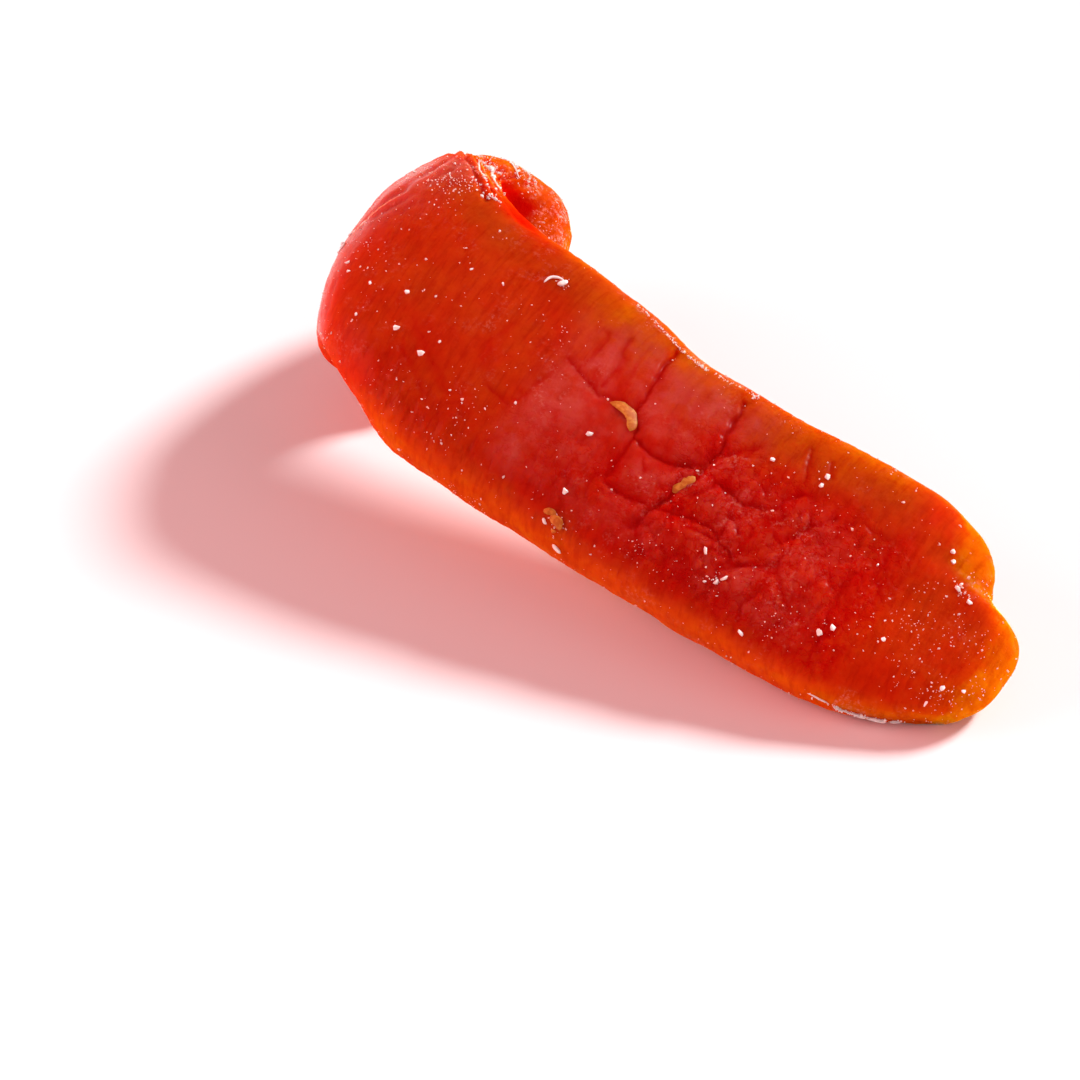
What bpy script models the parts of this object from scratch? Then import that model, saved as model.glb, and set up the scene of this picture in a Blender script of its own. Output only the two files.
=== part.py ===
# A spear of dried, sugared papaya: a long slice of fruit, dark and wrinkled on its
# seed side, whose one end is folded under itself and whose other end is blunt and
# lobed. It lies on the fold and on the underside of the blunt end.
#
# Lengths are millimetres until the mesh is made in metres. In the spear's own frame
# X runs along the body to the blunt end, Y across to the back edge and Z out of the
# seed side. Distances along the spear start at the blunt end.

import math

import bmesh
import bpy
import numpy as np

# Driving dimensions
BODY_LENGTH = 86.3      # straight stretch, from the blunt end to the start of the fold
BODY_ARCH = 6.0         # degrees that the body bends over its length
BLUNT_END_X = 99.8      # place of the blunt end; X = 0 is near the outside of the fold
FOLD_RADIUS = 9.3       # centre line radius of the fold
FOLD_TURN = 160.0       # degrees that the fold turns the end under
FOLD_EASE = 5.0         # length over which the bend comes in and dies out, each way
FLAP_LENGTH = 7.4       # straight stretch beyond the fold
FLOOR_PITCH = 10.45     # degrees that the blunt end points down
FLOOR_ROLL = 20.0       # degrees that the seed side leans to the front
FLAT_DEPTH = 0.6        # how far the two resting spots are pressed flat

# Ends: the lengths over which the width and the thickness close
BLUNT_ROUND = 14.0
BLUNT_THINNING = 4.0
FLAP_ROUND = 10.0
FLAP_THINNING = 7.0
SQUARENESS = 2.6        # exponent of the cross-section, 2 for an ellipse
BLUNT_SQUARENESS = 2.7
FLAP_SQUARENESS = 2.4

# Outline of the blunt end
LOBE_REACH = 16.0       # the stretch over which the outline's setback comes in
LOBE_MARGIN = 4.0       # it has come in fully this far before the end
OUTLINE_SETBACKS = [    # (Y, setback along X): a cut front corner, then two lobes and a notch
    (-16.0, 6.4), (-12.5, 5.2), (-10.0, 3.6), (-8.0, 2.0), (-6.0, 1.0), (-4.0, 0.3),
    (-2.5, -0.1), (-1.0, -0.2), (0.5, -0.2), (2.0, -0.2), (3.5, 0.0), (5.0, 0.6),
    (6.2, 1.9), (7.4, 4.4), (8.6, 5.7), (12.0, 5.2), (16.0, 4.6),
]

BLUNT_RINGS = 14
BODY_RINGS = 58
FLAP_RINGS = 9
RING_POINTS = 40
MILLIMETRE = 0.001

FLESH_RED = (0.56, 0.045, 0.012, 1.0)
FLESH_ROUGHNESS = 0.3


def ramp(value):
    """0 below 0, 1 above 1, and a smooth S between."""
    value = np.clip(value, 0.0, 1.0)
    return value * value * (3.0 - 2.0 * value)


def quarter_oval(value, squareness):
    """Rises from 0 at 0 to 1 at 1 and beyond, as a quarter of an oval does."""
    return (1.0 - (1.0 - np.clip(value, 0.0, 1.0)) ** squareness) ** (1.0 / squareness)


def curve_through(stations, distance):
    """A smooth curve through (distance, value) stations that never overshoots them."""
    place, value = np.array(stations, float).T
    gap = np.diff(place)
    slope = np.diff(value) / gap
    same_way = slope[:-1] * slope[1:] > 0
    total = np.where(same_way, slope[:-1] + slope[1:], 1.0)
    tangent = np.concatenate([
        slope[:1],
        np.where(same_way, 2.0 * slope[:-1] * slope[1:] / total, 0.0),
        slope[-1:],
    ])
    piece = np.clip(np.searchsorted(place, distance) - 1, 0, len(gap) - 1)
    part = np.clip((distance - place[piece]) / gap[piece], 0.0, 1.0)
    rest = 1.0 - part
    return (
        value[piece] * (1.0 + 2.0 * part) * rest**2
        + value[piece + 1] * part**2 * (3.0 - 2.0 * part)
        + tangent[piece] * gap[piece] * part * rest**2
        - tangent[piece + 1] * gap[piece] * part**2 * rest
    )


fold_length = math.radians(FOLD_TURN) * FOLD_RADIUS
fold_end = BODY_LENGTH + fold_length
spear_length = fold_end + FLAP_LENGTH


def centre_line(distance):
    """X, Z and heading of the centre line, by summing up its curvature."""
    step = np.linspace(0.0, spear_length, 1600)
    ease = 2.0 * FOLD_EASE
    starts = ramp((step - BODY_LENGTH + FOLD_EASE) / ease)
    ends = ramp((step - fold_end + FOLD_EASE) / ease)
    arch = math.radians(BODY_ARCH)
    curvature = (starts - ends) / FOLD_RADIUS + np.where(step < BODY_LENGTH, arch / BODY_LENGTH, 0.0)

    def summed(rate):
        return np.concatenate([[0.0], np.cumsum(0.5 * (rate[1:] + rate[:-1]) * np.diff(step))])

    heading = math.pi - 0.5 * arch + summed(curvature)
    x = BLUNT_END_X + summed(np.cos(heading))
    z = summed(np.sin(heading))
    return tuple(np.interp(distance, step, track) for track in (x, z, heading))


def back_edge(distance):
    """Y of the back edge, which slides out behind the body as the end folds under."""
    return curve_through([
        (0.0, 15.5), (12.0, 16.0), (17.0, 16.4), (30.0, 16.0), (39.0, 15.3), (48.0, 15.8),
        (60.0, 17.8), (75.0, 20.0), (BODY_LENGTH - 4.0, 21.5), (BODY_LENGTH + 3.0, 23.8),
        (BODY_LENGTH + 0.5 * fold_length, 31.3), (BODY_LENGTH + 0.85 * fold_length, 34.6),
        (spear_length, 35.5),
    ], distance)


def front_edge(distance):
    """Y of the front edge."""
    return curve_through([
        (0.0, -12.6), (12.0, -13.4), (30.0, -15.3), (42.0, -16.2), (60.0, -15.4),
        (75.0, -14.4), (BODY_LENGTH - 4.0, -12.4), (BODY_LENGTH + 0.5 * fold_length, -4.6),
        (fold_end, -1.0), (spear_length, 3.0),
    ], distance)


def half_thickness(distance):
    """Half of the thickness, thinnest at the blunt end and thickest at the fold."""
    return curve_through([
        (0.0, 3.4), (8.0, 4.2), (20.0, 5.5), (34.0, 6.2), (70.0, 6.5),
        (BODY_LENGTH + 0.5 * fold_length, 6.8), (fold_end, 6.4), (spear_length, 5.8),
    ], distance)


def end_rounding(distance, blunt, flap, blunt_power, flap_power):
    """1 along the spear, falling to 0 at both ends."""
    at_blunt = quarter_oval(distance / blunt, blunt_power)
    at_flap = quarter_oval((spear_length - distance) / flap, flap_power)
    return at_blunt * at_flap


def lobed(points, distance):
    """Sets the blunt end back round its two lobes and its front corner."""
    x, y, z = np.moveaxis(points, -1, 0)
    near_end = ramp((x - BLUNT_END_X + LOBE_REACH + LOBE_MARGIN) / LOBE_REACH)
    near_end = near_end * (distance < 0.5 * BODY_LENGTH)
    return np.stack([x - near_end * curve_through(OUTLINE_SETBACKS, y), y, z], axis=-1)


def end_distances(rings, reach, squareness):
    """Distances from an end at which its rounding has grown by equal steps."""
    grown = (np.arange(rings) + 0.5) / rings
    return reach * (1.0 - (1.0 - grown**squareness) ** (1.0 / squareness))


def ring_distances():
    """Where the cross-sections are, even along the body and closer at the two ends."""
    blunt = end_distances(BLUNT_RINGS, BLUNT_ROUND, BLUNT_SQUARENESS)
    flap = spear_length - end_distances(FLAP_RINGS, FLAP_ROUND, FLAP_SQUARENESS)[::-1]
    body = np.linspace(blunt[-1], flap[0], BODY_RINGS + 2)[1:-1]
    return np.concatenate([blunt, body, flap])


def spear_rings():
    """Cross-sections from the blunt end to the flap, rings by points."""
    distance = ring_distances()
    x, z, heading = centre_line(distance)
    width_close = end_rounding(distance, BLUNT_ROUND, FLAP_ROUND, BLUNT_SQUARENESS, FLAP_SQUARENESS)
    thickness_close = end_rounding(distance, BLUNT_THINNING, FLAP_THINNING, 2.0, 2.0)
    middle = 0.5 * (back_edge(distance) + front_edge(distance))
    half_width = 0.5 * (back_edge(distance) - front_edge(distance)) * width_close
    depth = half_thickness(distance) * thickness_close

    turn = 2.0 * math.pi * np.arange(RING_POINTS) / RING_POINTS
    power = 2.0 / SQUARENESS
    across = np.sign(np.cos(turn)) * np.abs(np.cos(turn)) ** power
    up = np.sign(np.sin(turn)) * np.abs(np.sin(turn)) ** power
    out = depth[:, None] * up
    points = np.stack([
        x[:, None] + out * np.sin(heading)[:, None],
        middle[:, None] + half_width[:, None] * across,
        z[:, None] - out * np.cos(heading)[:, None],
    ], axis=-1)
    return lobed(points, distance[:, None])


def laid_down(points):
    """Pitched and rolled as the spear lies, pressed flat where it rests, over the origin."""
    pitch, roll = math.radians(FLOOR_PITCH), math.radians(FLOOR_ROLL)
    about_x = np.array([
        [1.0, 0.0, 0.0],
        [0.0, math.cos(roll), -math.sin(roll)],
        [0.0, math.sin(roll), math.cos(roll)],
    ])
    about_y = np.array([
        [math.cos(pitch), 0.0, math.sin(pitch)],
        [0.0, 1.0, 0.0],
        [-math.sin(pitch), 0.0, math.cos(pitch)],
    ])
    points = points @ (about_y @ about_x).T
    points[:, 2] = np.maximum(points[:, 2] - points[:, 2].min() - FLAT_DEPTH, 0.0)
    points[:, :2] -= 0.5 * (points[:, :2].min(axis=0) + points[:, :2].max(axis=0))
    return points


def lofted_mesh(name, rings):
    """One closed skin through the rings, with a point closing each end."""
    ends = rings[[0, -1]].mean(axis=1)
    points = laid_down(np.concatenate([rings.reshape(-1, 3), ends])) * MILLIMETRE
    shape = bmesh.new()
    verts = [shape.verts.new(point) for point in points.tolist()]
    blunt_tip, flap_tip = verts[-2:]
    starts = range(0, rings.shape[0] * RING_POINTS, RING_POINTS)
    loops = [verts[start:start + RING_POINTS] for start in starts]
    for near, far in zip(loops, loops[1:]):
        for here in range(RING_POINTS):
            after = (here + 1) % RING_POINTS
            shape.faces.new((near[here], far[here], far[after], near[after]))
    for here in range(RING_POINTS):
        after = (here + 1) % RING_POINTS
        shape.faces.new((blunt_tip, loops[0][here], loops[0][after]))
        shape.faces.new((flap_tip, loops[-1][after], loops[-1][here]))
    bmesh.ops.recalc_face_normals(shape, faces=shape.faces[:])
    mesh = bpy.data.meshes.new(name)
    shape.to_mesh(mesh)
    shape.free()
    mesh.shade_smooth()
    return mesh


def flesh_material():
    material = bpy.data.materials.new("candied_flesh")
    material.use_nodes = True
    shader = material.node_tree.nodes["Principled BSDF"]
    shader.inputs["Base Color"].default_value = FLESH_RED
    shader.inputs["Roughness"].default_value = FLESH_ROUGHNESS
    shader.inputs["Metallic"].default_value = 0.0
    return material


def main():
    for thing in list(bpy.data.objects):
        bpy.data.objects.remove(thing, do_unlink=True)
    collection = bpy.data.collections.new("dried_papaya_spear")
    bpy.context.scene.collection.children.link(collection)
    mesh = lofted_mesh("papaya_spear", spear_rings())
    mesh.materials.append(flesh_material())
    collection.objects.link(bpy.data.objects.new("papaya_spear", mesh))


main()
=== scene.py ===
import math

import bmesh
import bpy
import numpy as np
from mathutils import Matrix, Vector


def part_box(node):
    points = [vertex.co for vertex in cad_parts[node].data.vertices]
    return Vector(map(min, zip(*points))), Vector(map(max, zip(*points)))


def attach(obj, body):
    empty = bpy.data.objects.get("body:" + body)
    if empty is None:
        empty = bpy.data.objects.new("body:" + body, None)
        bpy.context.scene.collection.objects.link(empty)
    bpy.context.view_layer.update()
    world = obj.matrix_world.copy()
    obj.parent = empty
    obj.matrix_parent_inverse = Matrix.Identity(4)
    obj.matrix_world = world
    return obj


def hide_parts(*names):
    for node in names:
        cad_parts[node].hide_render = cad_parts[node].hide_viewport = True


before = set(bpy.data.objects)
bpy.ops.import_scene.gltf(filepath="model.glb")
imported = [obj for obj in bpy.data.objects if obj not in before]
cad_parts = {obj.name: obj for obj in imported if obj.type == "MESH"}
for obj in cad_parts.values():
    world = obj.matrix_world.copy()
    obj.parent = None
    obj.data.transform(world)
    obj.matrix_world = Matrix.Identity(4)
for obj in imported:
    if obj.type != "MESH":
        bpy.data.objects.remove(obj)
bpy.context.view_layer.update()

spearLow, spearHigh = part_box("papaya_spear")
mm = 0.001
nodeName = "papaya_spear"


# shaping helpers: lengths are in millimetres

# 0 below low, 1 above high, 3t^2 - 2t^3 between
def ease(low, high, value):
    t = np.clip((value - low) / (high - low), 0, 1)
    return t * t * (3 - 2 * t)


# exp(-(distance / width)^2)
def bell(distance, width):
    return np.exp(-((distance / width) ** 2))


# 1 between the two middle limits, eased to 0 at the outer two
def band(value, start, full, fade, end):
    return ease(start, full, value) * ease(end, fade, value)


# the sum over a table's rows of height * bell(along) * bell(across)
def mounds(at, y, table):
    return sum(tall * bell(at - a, length) * bell(y - c, width) for tall, a, length, c, width in table)


# rises from 0 to 1 as a quarter of an oval: (1 - (1 - t)^p)^(1/p)
def quarterOval(t, power):
    return (1 - (1 - np.clip(t, 0, 1)) ** power) ** (1 / power)


# cubic through (place, value) stations, with the harmonic mean of neighbouring slopes as tangents
def curve(stations, at):
    place, value = np.array(stations, float).T
    gap = np.diff(place)
    slope = np.diff(value) / gap
    sameWay = slope[:-1] * slope[1:] > 0
    total = np.where(sameWay, slope[:-1] + slope[1:], 1)
    inner = np.where(sameWay, 2 * slope[:-1] * slope[1:] / total, 0)
    tangent = np.concatenate([slope[:1], inner, slope[-1:]])
    k = np.clip(np.searchsorted(place, at) - 1, 0, len(gap) - 1)
    t = np.clip((at - place[k]) / gap[k], 0, 1)
    r = 1 - t
    ends = value[k] * (1 + 2 * t) * r**2 + value[k + 1] * t**2 * (3 - 2 * t)
    return ends + gap[k] * (tangent[k] * t * r**2 - tangent[k + 1] * t**2 * r)


# a repeatable number from -1 to 1 for each whole-number corner
def cornerValue(corner, seed):
    mixed = corner[..., 0] * 374761393 + corner[..., 1] * 668265263 + corner[..., 2] * 1440662683
    mixed = (mixed + seed * 974634777) & 0xFFFFFFFF
    mixed = ((mixed ^ (mixed >> 13)) * 1274126177) & 0xFFFFFFFF
    return ((mixed ^ (mixed >> 16)) & 0xFFFF) / 32767.5 - 1


# corner values blended smoothly over each lattice cell, one cell per grain length
def noise(points, grain, seed):
    place = points / grain
    corner = np.floor(place).astype(np.int64)
    f = place - corner
    f = f * f * f * (f * (f * 6 - 15) + 10)
    total = np.zeros(points.shape[:-1])
    for sides in np.ndindex(2, 2, 2):
        share = np.prod(np.where(sides, f, 1 - f), axis=-1)
        total += share * cornerValue(corner + np.array(sides), seed)
    return total


# octaves of noise, each half as long and half as strong
def layered(points, grain, seed, octaves=3):
    total = np.zeros(points.shape[:-1])
    for octave in range(octaves):
        total += noise(points, grain / 2**octave, seed + 17 * octave) / 2**octave
    return total


# distance from the border between the nearest centres, one in each unit cell, up to jitter off its middle
def cellBorder(u, v, seed, jitter=0.42):
    base = np.stack([np.floor(u), np.floor(v), np.zeros_like(u)], axis=-1).astype(np.int64)
    nearest = np.full(u.shape, np.inf)
    second = np.full(u.shape, np.inf)
    for i, j in np.ndindex(3, 3):
        corner = base + np.array([i - 1, j - 1, 0])
        du = corner[..., 0] + 0.5 + jitter * cornerValue(corner, seed) - u
        dv = corner[..., 1] + 0.5 + jitter * cornerValue(corner, seed + 5) - v
        away = np.sqrt(du**2 + dv**2)
        second = np.minimum(second, np.maximum(nearest, away))
        nearest = np.minimum(nearest, away)
    return second - nearest


# shortest distance from each (along, across) point to a line through a few points
def distanceToLine(along, across, line):
    best = np.full(along.shape, np.inf)
    for (a0, c0), (a1, c1) in zip(line, line[1:]):
        da, dc = a1 - a0, c1 - c0
        t = np.clip(((along - a0) * da + (across - c0) * dc) / (da * da + dc * dc), 0, 1)
        best = np.minimum(best, np.hypot(along - a0 - t * da, across - c0 - t * dc))
    return best


# the spear's form, the same as the solid's

spear = {
    "bodyLength": 86.3,  # straight stretch, from the blunt end to the fold
    "bodyArch": 6,  # degrees
    "bluntEndX": 99.8,
    "foldRadius": 9.3,
    "foldTurn": 160,  # degrees
    "foldEase": 5,  # half the length over which the bend starts and stops
    "flapLength": 7.4,
    "pitch": 10.45,  # degrees, blunt end down
    "roll": 20,  # degrees, seed side to the front
    # (blunt end, flap): reach and squareness of the rounding, reach of the thinning
    "roundReach": (14, 10),
    "roundSquareness": (2.7, 2.4),
    "thinReach": (4, 7),
    "setBackReach": (20, 4),  # where it starts and is full, from the blunt end
    "squareness": 2.6,
    "typicalSection": (15.5, 6.3),  # half width, half thickness
    "rings": (46, 396, 20),  # blunt end, body, flap
    "around": (142, 68),  # points on the seed side, skin side
}
foldLength = math.radians(spear["foldTurn"]) * spear["foldRadius"]
foldEnd = spear["bodyLength"] + foldLength
spearLength = foldEnd + spear["flapLength"]


# x, z and heading of the middle line: the heading is the summed curvature, the place the summed heading
def middleLine(at):
    step = np.linspace(0, spearLength, 2400)
    start, end, arch = spear["bodyLength"], foldEnd, math.radians(spear["bodyArch"])
    half = spear["foldEase"]
    bend = ease(start - half, start + half, step) - ease(end - half, end + half, step)
    curvature = bend / spear["foldRadius"] + np.where(step < start, arch / start, 0)

    def summed(rate):
        return np.concatenate([[0], np.cumsum(0.5 * (rate[1:] + rate[:-1]) * np.diff(step))])

    heading = math.pi - 0.5 * arch + summed(curvature)
    x = spear["bluntEndX"] + summed(np.cos(heading))
    z = summed(np.sin(heading))
    return tuple(np.interp(at, step, track) for track in (x, z, heading))


# how far across the back edge lies, by stations along the spear
def backEdge(at):
    body = spear["bodyLength"]
    return curve([
        (0, 15.5), (12, 16), (17, 16.4), (30, 16), (39, 15.3), (48, 15.8),
        (60, 17.8), (75, 20), (body - 4, 21.5), (body + 3, 23.8),
        (body + 0.5 * foldLength, 31.3), (body + 0.85 * foldLength, 34.6), (spearLength, 35.5),
    ], at)


# how far across the front edge lies, by stations along the spear
def frontEdge(at):
    body = spear["bodyLength"]
    return curve([
        (0, -12.6), (12, -13.4), (30, -15.3), (42, -16.2), (60, -15.4), (75, -14.4),
        (body - 4, -12.4), (body + 0.5 * foldLength, -4.6), (foldEnd, -1), (spearLength, 3),
    ], at)


# half the thickness away from the ends, by stations along the spear
def halfThickness(at):
    return curve([
        (0, 3.4), (8, 4.2), (20, 5.5), (34, 6.2), (70, 6.5),
        (spear["bodyLength"] + 0.5 * foldLength, 6.8), (foldEnd, 6.4), (spearLength, 5.8),
    ], at)


# distances from an end at which its rounding has grown by equal steps
def endRings(rings, reach, power):
    grown = (np.arange(rings) + 0.5) / rings
    return reach * (1 - (1 - grown**power) ** (1 / power))


# reach across and up of an oval of size 1: the cosine and the sine, each to a power with its sign kept
def ovalShape(angle):
    power = 2 / spear["squareness"]
    return [np.sign(part) * np.abs(part) ** power for part in (np.cos(angle), np.sin(angle))]


# the section's angles, evenly spaced round a typical oval and closer on the seed side
def sectionAngles():
    fine = np.linspace(0, 2 * math.pi, 4001)
    corners = [half * part for half, part in zip(spear["typicalSection"], ovalShape(fine))]
    length = np.concatenate([[0], np.cumsum(np.hypot(*np.diff(corners)))])
    half = length[len(fine) // 2]
    seedSide, skinSide = (np.arange(count) / count * half for count in spear["around"])
    return np.interp(np.concatenate([seedSide, half + skinSide]), length, fine)


# how far the blunt end stands back: two lobes with a notch between, and a cut front corner
def setBack(y):
    return curve([
        (-16, 6.4), (-12.5, 5.2), (-10, 3.6), (-8, 2), (-6, 1), (-4, 0.3), (-2.5, -0.1),
        (-1, -0.2), (0.5, -0.2), (2, -0.2), (3.5, 0), (5, 0.6), (6.2, 1.9), (7.4, 4.4),
        (8.6, 5.7), (12, 5.2), (16, 4.6),
    ], y)


# share of the full size near the ends: a quarter of an oval from each
def opened(at, reach, power=(2, 2)):
    return quarterOval(at / reach[0], power[0]) * quarterOval((spearLength - at) / reach[1], power[1])


# rings by points: an oval section carried along the middle line, and each point's place in it
def spearGrid():
    reach, power = spear["roundReach"], spear["roundSquareness"]
    bluntRings, bodyRings, flapRings = spear["rings"]
    blunt = endRings(bluntRings, reach[0], power[0])
    flap = spearLength - endRings(flapRings, reach[1], power[1])[::-1]
    body = np.linspace(blunt[-1], flap[0], bodyRings + 2)[1:-1]
    at = np.concatenate([blunt, body, flap])[:, None]
    x, z, heading = middleLine(at)
    across, up = ovalShape(sectionAngles()[None, :])
    halfWidth = 0.5 * (backEdge(at) - frontEdge(at)) * opened(at, reach, power)
    y = 0.5 * (backEdge(at) + frontEdge(at)) + halfWidth * across
    out = halfThickness(at) * opened(at, spear["thinReach"]) * up
    x = x + out * np.sin(heading)
    back, full = spear["setBackReach"]
    nearEnd = ease(-back, -full, x - spear["bluntEndX"]) * (at < 0.5 * spear["bodyLength"])
    points = np.stack([x - nearEnd * setBack(y), y, z - out * np.cos(heading)], axis=-1)
    return points, *np.broadcast_arrays(at, y, across, up)


# unit normals of a ring grid: the cross product of its two directions, turned outwards
def gridNormals(points):
    along = np.gradient(points, axis=0)
    around = np.roll(points, -1, axis=1) - np.roll(points, 1, axis=1)
    normal = np.cross(around, along)
    normal /= np.linalg.norm(normal, axis=-1, keepdims=True) + 1e-12
    outward = points - points.mean(axis=1, keepdims=True)
    return normal * np.sign(np.mean(np.sum(normal * outward, axis=-1)))


# rolled about x, pitched about y, then moved so that the plain form fills the solid's box
def laidDown(points, plain):
    pitch, roll = math.radians(spear["pitch"]), math.radians(spear["roll"])
    c, s, cosRoll, sinRoll = math.cos(pitch), math.sin(pitch), math.cos(roll), math.sin(roll)
    turn = np.array([[c, 0, -s], [s * sinRoll, cosRoll, c * sinRoll], [s * cosRoll, -sinRoll, c * cosRoll]])
    plain = (plain @ turn).reshape(-1, 3) * mm
    move = 0.5 * (np.array(spearLow) + np.array(spearHigh) - plain.min(axis=0) - plain.max(axis=0))
    move[2] = spearHigh[2] - plain[:, 2].max()
    placed = points @ turn * mm + move
    placed[..., 2] = np.maximum(placed[..., 2], spearLow[2])
    return placed


# the relief of the dried flesh

# cracks of the seed side: (along, across) points, half width, depth
cracks = [
    ([(54.5, 14), (54, 10), (53.5, 6.5), (53.5, 3)], 0.35, 0.75),
    ([(53.5, 3), (52, 1.5), (51.5, 0)], 0.4, 0.75),
    ([(51.5, 0), (51.5, -3), (51.5, -6)], 0.4, 0.65),
    ([(51.5, 0), (48.5, -0.5), (45.5, 0), (42.5, 2)], 0.4, 0.75),
    ([(43.5, 12), (43, 8.5), (42, 4.5), (42.5, 1), (43.5, -2.5), (44.5, -6), (45.5, -9.5)],
     0.5, 0.85),
    ([(51.5, -6.5), (48, -6.5), (44.5, -6), (41, -5), (37.5, -4.5), (34, -6)], 0.45, 0.65),
    ([(64, 4.5), (61, 3.5), (58, 2.5), (55.5, 3.5), (53.5, 3)], 0.3, 0.5),
    ([(64.5, 3), (65, 0), (66, -3.5)], 0.25, 0.3),
    ([(62, 4), (61.5, 7.5), (62, 10.5)], 0.25, 0.35),
    ([(58.5, 3.5), (58.5, 7), (59.5, 11)], 0.25, 0.35),
    ([(72.5, 5), (73, 2), (72.5, -1)], 0.3, 0.2),
    ([(70, -3.5), (66.5, -4.5)], 0.25, 0.25),
    ([(49, -1), (48, -3)], 0.22, 0.3),
    ([(42, 3), (40.5, 5.5), (38.5, 7.5)], 0.35, 0.4),
    ([(39.5, 1), (36, 0), (33, 1.5), (31, 5)], 0.4, 0.5),
    ([(37.5, -4.5), (36.5, -2), (34, -3.5)], 0.3, 0.4),
    ([(32.5, -5), (30.5, -2.5), (28.5, 1), (26, 5)], 0.3, 0.35),
    ([(33.5, -8), (30.5, -5.5), (27.5, -3.5)], 0.3, 0.3),
    ([(33.5, 11.5), (32.5, 9), (31.5, 6.5)], 0.22, 0.4),
    ([(30.5, 11), (29.5, 9)], 0.22, 0.35),
    ([(82, -1.8), (78, -4.5), (73.5, -6.9)], 0.6, 0.2),
    ([(82.3, -4.9), (79, -6.6), (75.6, -8.9)], 0.5, 0.15),
]
# grooves and ridges that follow the rim of the fold: (along, across) points, half width, height
foldLines = [
    ([(95.5, 8.5), (93.6, 11.7), (92.2, 14.5), (92.2, 18), (92.9, 22.6), (96, 27.5), (99.5, 31)],
     0.32, -0.42),
    ([(94.6, 8.5), (92.6, 12.1), (91.5, 14.6), (91.5, 18), (92, 22.3), (94.5, 26.5)], 0.4, 0.16),
    ([(93.5, 9.5), (91.6, 12.5), (90.9, 14.7), (90.8, 18.1), (91.1, 21.9), (93, 25)], 0.28, -0.24),
    ([(97.5, 8.5), (95, 12.5), (94, 16.5), (94.6, 21), (97, 25)], 0.3, -0.2),
    ([(91, 11), (89.6, 14.5), (89.3, 18)], 0.25, -0.16),
    ([(93.5, -4), (95, 0), (96, 4)], 0.3, -0.14),
    ([(92, -3.5), (93.2, 0), (94, 3.5)], 0.25, -0.12),
]
# folds in the gathered back edge of the fold: (along, oval angle in degrees) points, half width, depth
pinchFolds = [
    ([(95, 22), (90.5, 27), (86, 42)], 0.4, 0.6),
    ([(96.5, 10), (91, 14), (86.5, 27)], 0.35, 0.65),
    ([(98.5, 0), (93, 3), (87, 11)], 0.35, 0.7),
    ([(100, -11), (95, -11), (88, -6)], 0.45, 0.9),
    ([(103, -22), (97.5, -22), (92, -18)], 0.45, 0.7),
    ([(106, -33), (101, -34), (97, -32)], 0.4, 0.5),
]
# broad swellings and hollows: height, along, length, across, width
swells = [
    (1.35, 94, 5, 14, 6.5), (-0.8, 97.5, 4, -3, 4), (0.4, 97, 4, 7, 3.5),
    (0.9, 103, 4, -3.5, 4), (-1.3, 98.5, 4, 29.5, 4), (-0.5, 9, 8, 16, 4),
    (-0.65, 43, 16, -16.5, 3),
]
# the same for the skin side alone
lowerSwells = [(-1.2, 105, 5, 28, 2.2)]
# heights and depths of the relief, mm; where there are two, the coarse and the fine
texture = {
    "plates": (0.18, 0.15),  # dips along their borders
    "crumple": (0.12, 0.13),
    "puff": 0.16,
    "pleats": 0.14,
    "marks": 0.045,
    "crevice": 1.5,
    "waist": 0.75,
    "skin": (0.12, 0.2),  # its fibres and dimples
    "swell": (0.25, 0.15),
    "grain": 0.05,
    "frontGrain": 0.08,
    "crackWaver": 0.22,
    "perDegree": 0.12,  # length along the surface for a degree round the section
}


# depth of a rounded groove round each crack, uneven in width, in a wider trough, and how dark it is
# coloured: the flesh's deeper red in the crack and painted shade in the groove
def crackGrooves(at, y, flat):
    a = at + texture["crackWaver"] * layered(flat, 1.7, 11)
    c = y + texture["crackWaver"] * layered(flat, 1.7, 29)
    uneven = np.clip(1 + 0.45 * layered(flat, 1.8, 43), 0.45, 1.9)
    groove, crackRedAndShade = np.zeros_like(at), np.zeros_like(at)
    for line, width, depth in cracks:
        away, wide, strong = distanceToLine(a, c, line), width * uneven, min(1, 0.35 + depth)
        parts = [groove, 0.7 * depth * bell(away, wide), 0.3 * depth * bell(away, 2.6 * width)]
        groove = np.maximum.reduce(parts)
        parts = [crackRedAndShade, strong * bell(away, 1.4 * wide), 0.55 * strong * bell(away, 3.2 * width)]
        crackRedAndShade = np.maximum.reduce(parts)
    return groove, crackRedAndShade


# the oval's own angle in degrees, from the reach across and up: 0 at the back edge, 90 on top
def ovalAngle(across, up):
    across, up = (np.sign(part) * np.abs(part) ** (0.5 * spear["squareness"]) for part in (across, up))
    return np.degrees(np.arctan2(up, across))


# 1 where the seed side has dried into small plates
def wrinkledZone(at, y):
    lower = band(at, 12, 20, 42, 50) * band(y, -15, -11, 3, 9)
    return np.maximum(lower, 0.6 * bell(at - 52, 13) * band(y, -13, -9, -5, 0))


# small plates, longer across the spear: dips along their borders, and crumples; and how much painted shade
# their borders take
def plateRelief(at, y, flat):
    a = at + 0.9 * layered(flat, 4.2, 3)
    c = y + 1.3 * layered(flat, 4.2, 7)
    large = bell(cellBorder(a / 4, c / 5.6, 21), 0.2)
    small = bell(cellBorder(a / 1.5, c / 2.8, 33), 0.22)
    coarse, fine = texture["crumple"]
    crumple = coarse * np.abs(layered(flat, 2, 61)) + fine * np.abs(layered(flat, 0.9, 67, 2))
    dips = texture["plates"][0] * large + texture["plates"][1] * small + crumple
    return texture["puff"] * noise(flat, 3.4, 59) - dips, 0.6 * large + 0.3 * small


# creases across the spear between the long crack and the back edge
def pleatDepth(at, y):
    pleated = bell(at - 58, 6.5) * band(y, 2.8, 4.6, 10, 14)
    pleated = pleated + 0.7 * bell(at - 49, 4) * band(y, 4, 6, 9, 13)
    slant = np.stack([at - 0.16 * y, 0.16 * y, 0 * y], axis=-1)
    return texture["pleats"] * pleated * np.abs(layered(slant, 1.35, 71, 2))


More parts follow.
